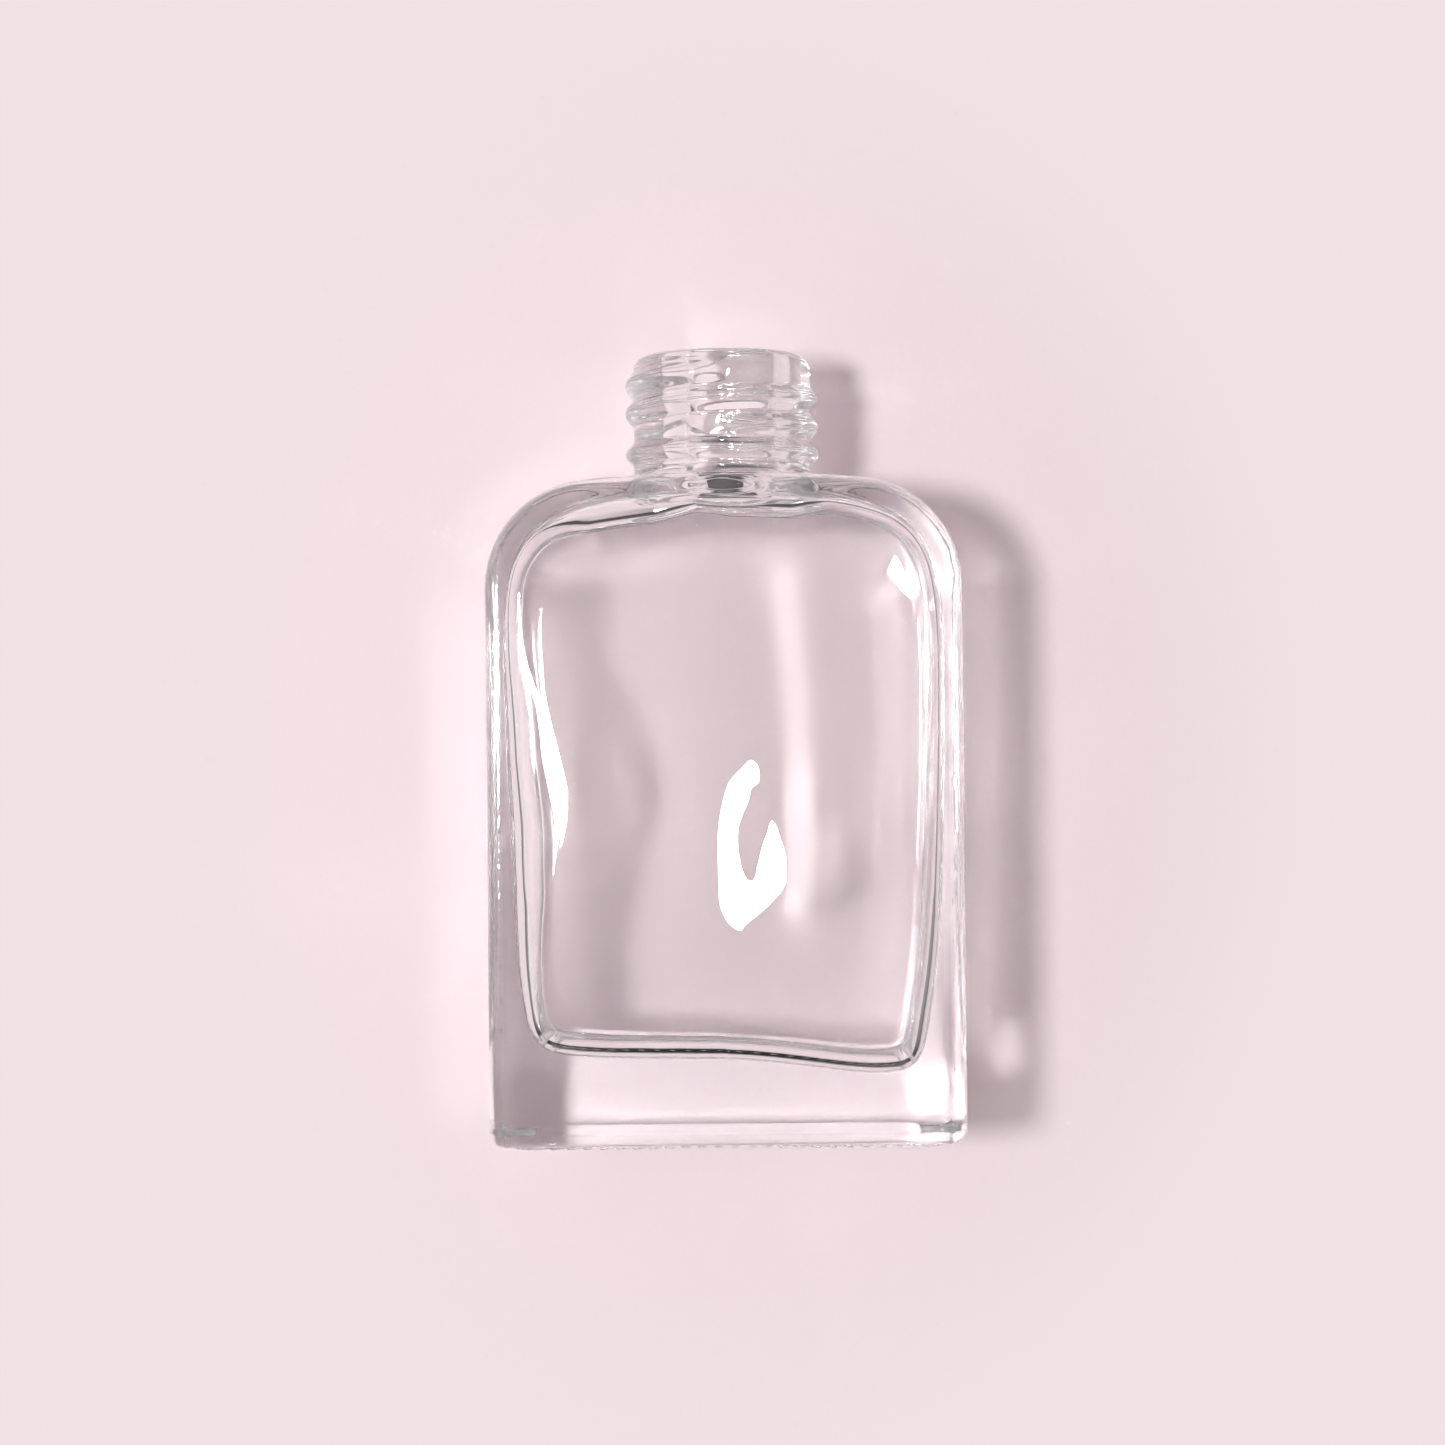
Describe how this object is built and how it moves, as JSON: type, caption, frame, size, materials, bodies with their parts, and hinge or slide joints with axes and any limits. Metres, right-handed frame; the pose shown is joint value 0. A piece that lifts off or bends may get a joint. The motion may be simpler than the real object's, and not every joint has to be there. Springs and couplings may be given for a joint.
{
  "type": "nail polish bottle",
  "caption": "Empty clear glass bottle with a flat rectangular body, rounded shoulders, a thick base and a short right-hand screw neck, lying on its back.",
  "frame": {"origin": "middle of the bottle's length and width, on the back panel that it lies on", "axes": "+Y along the bottle from the base to the mouth, +Z out of the front panel, +X to the right as seen from the front with the mouth up"},
  "size_m": [0.035, 0.059, 0.018],
  "materials": {
    "clear_glass": "fire-polished clear flint glass"
  },
  "bodies": {
    "root": {"glass_bottle": "clear_glass"}
  },
  "joints": []
}
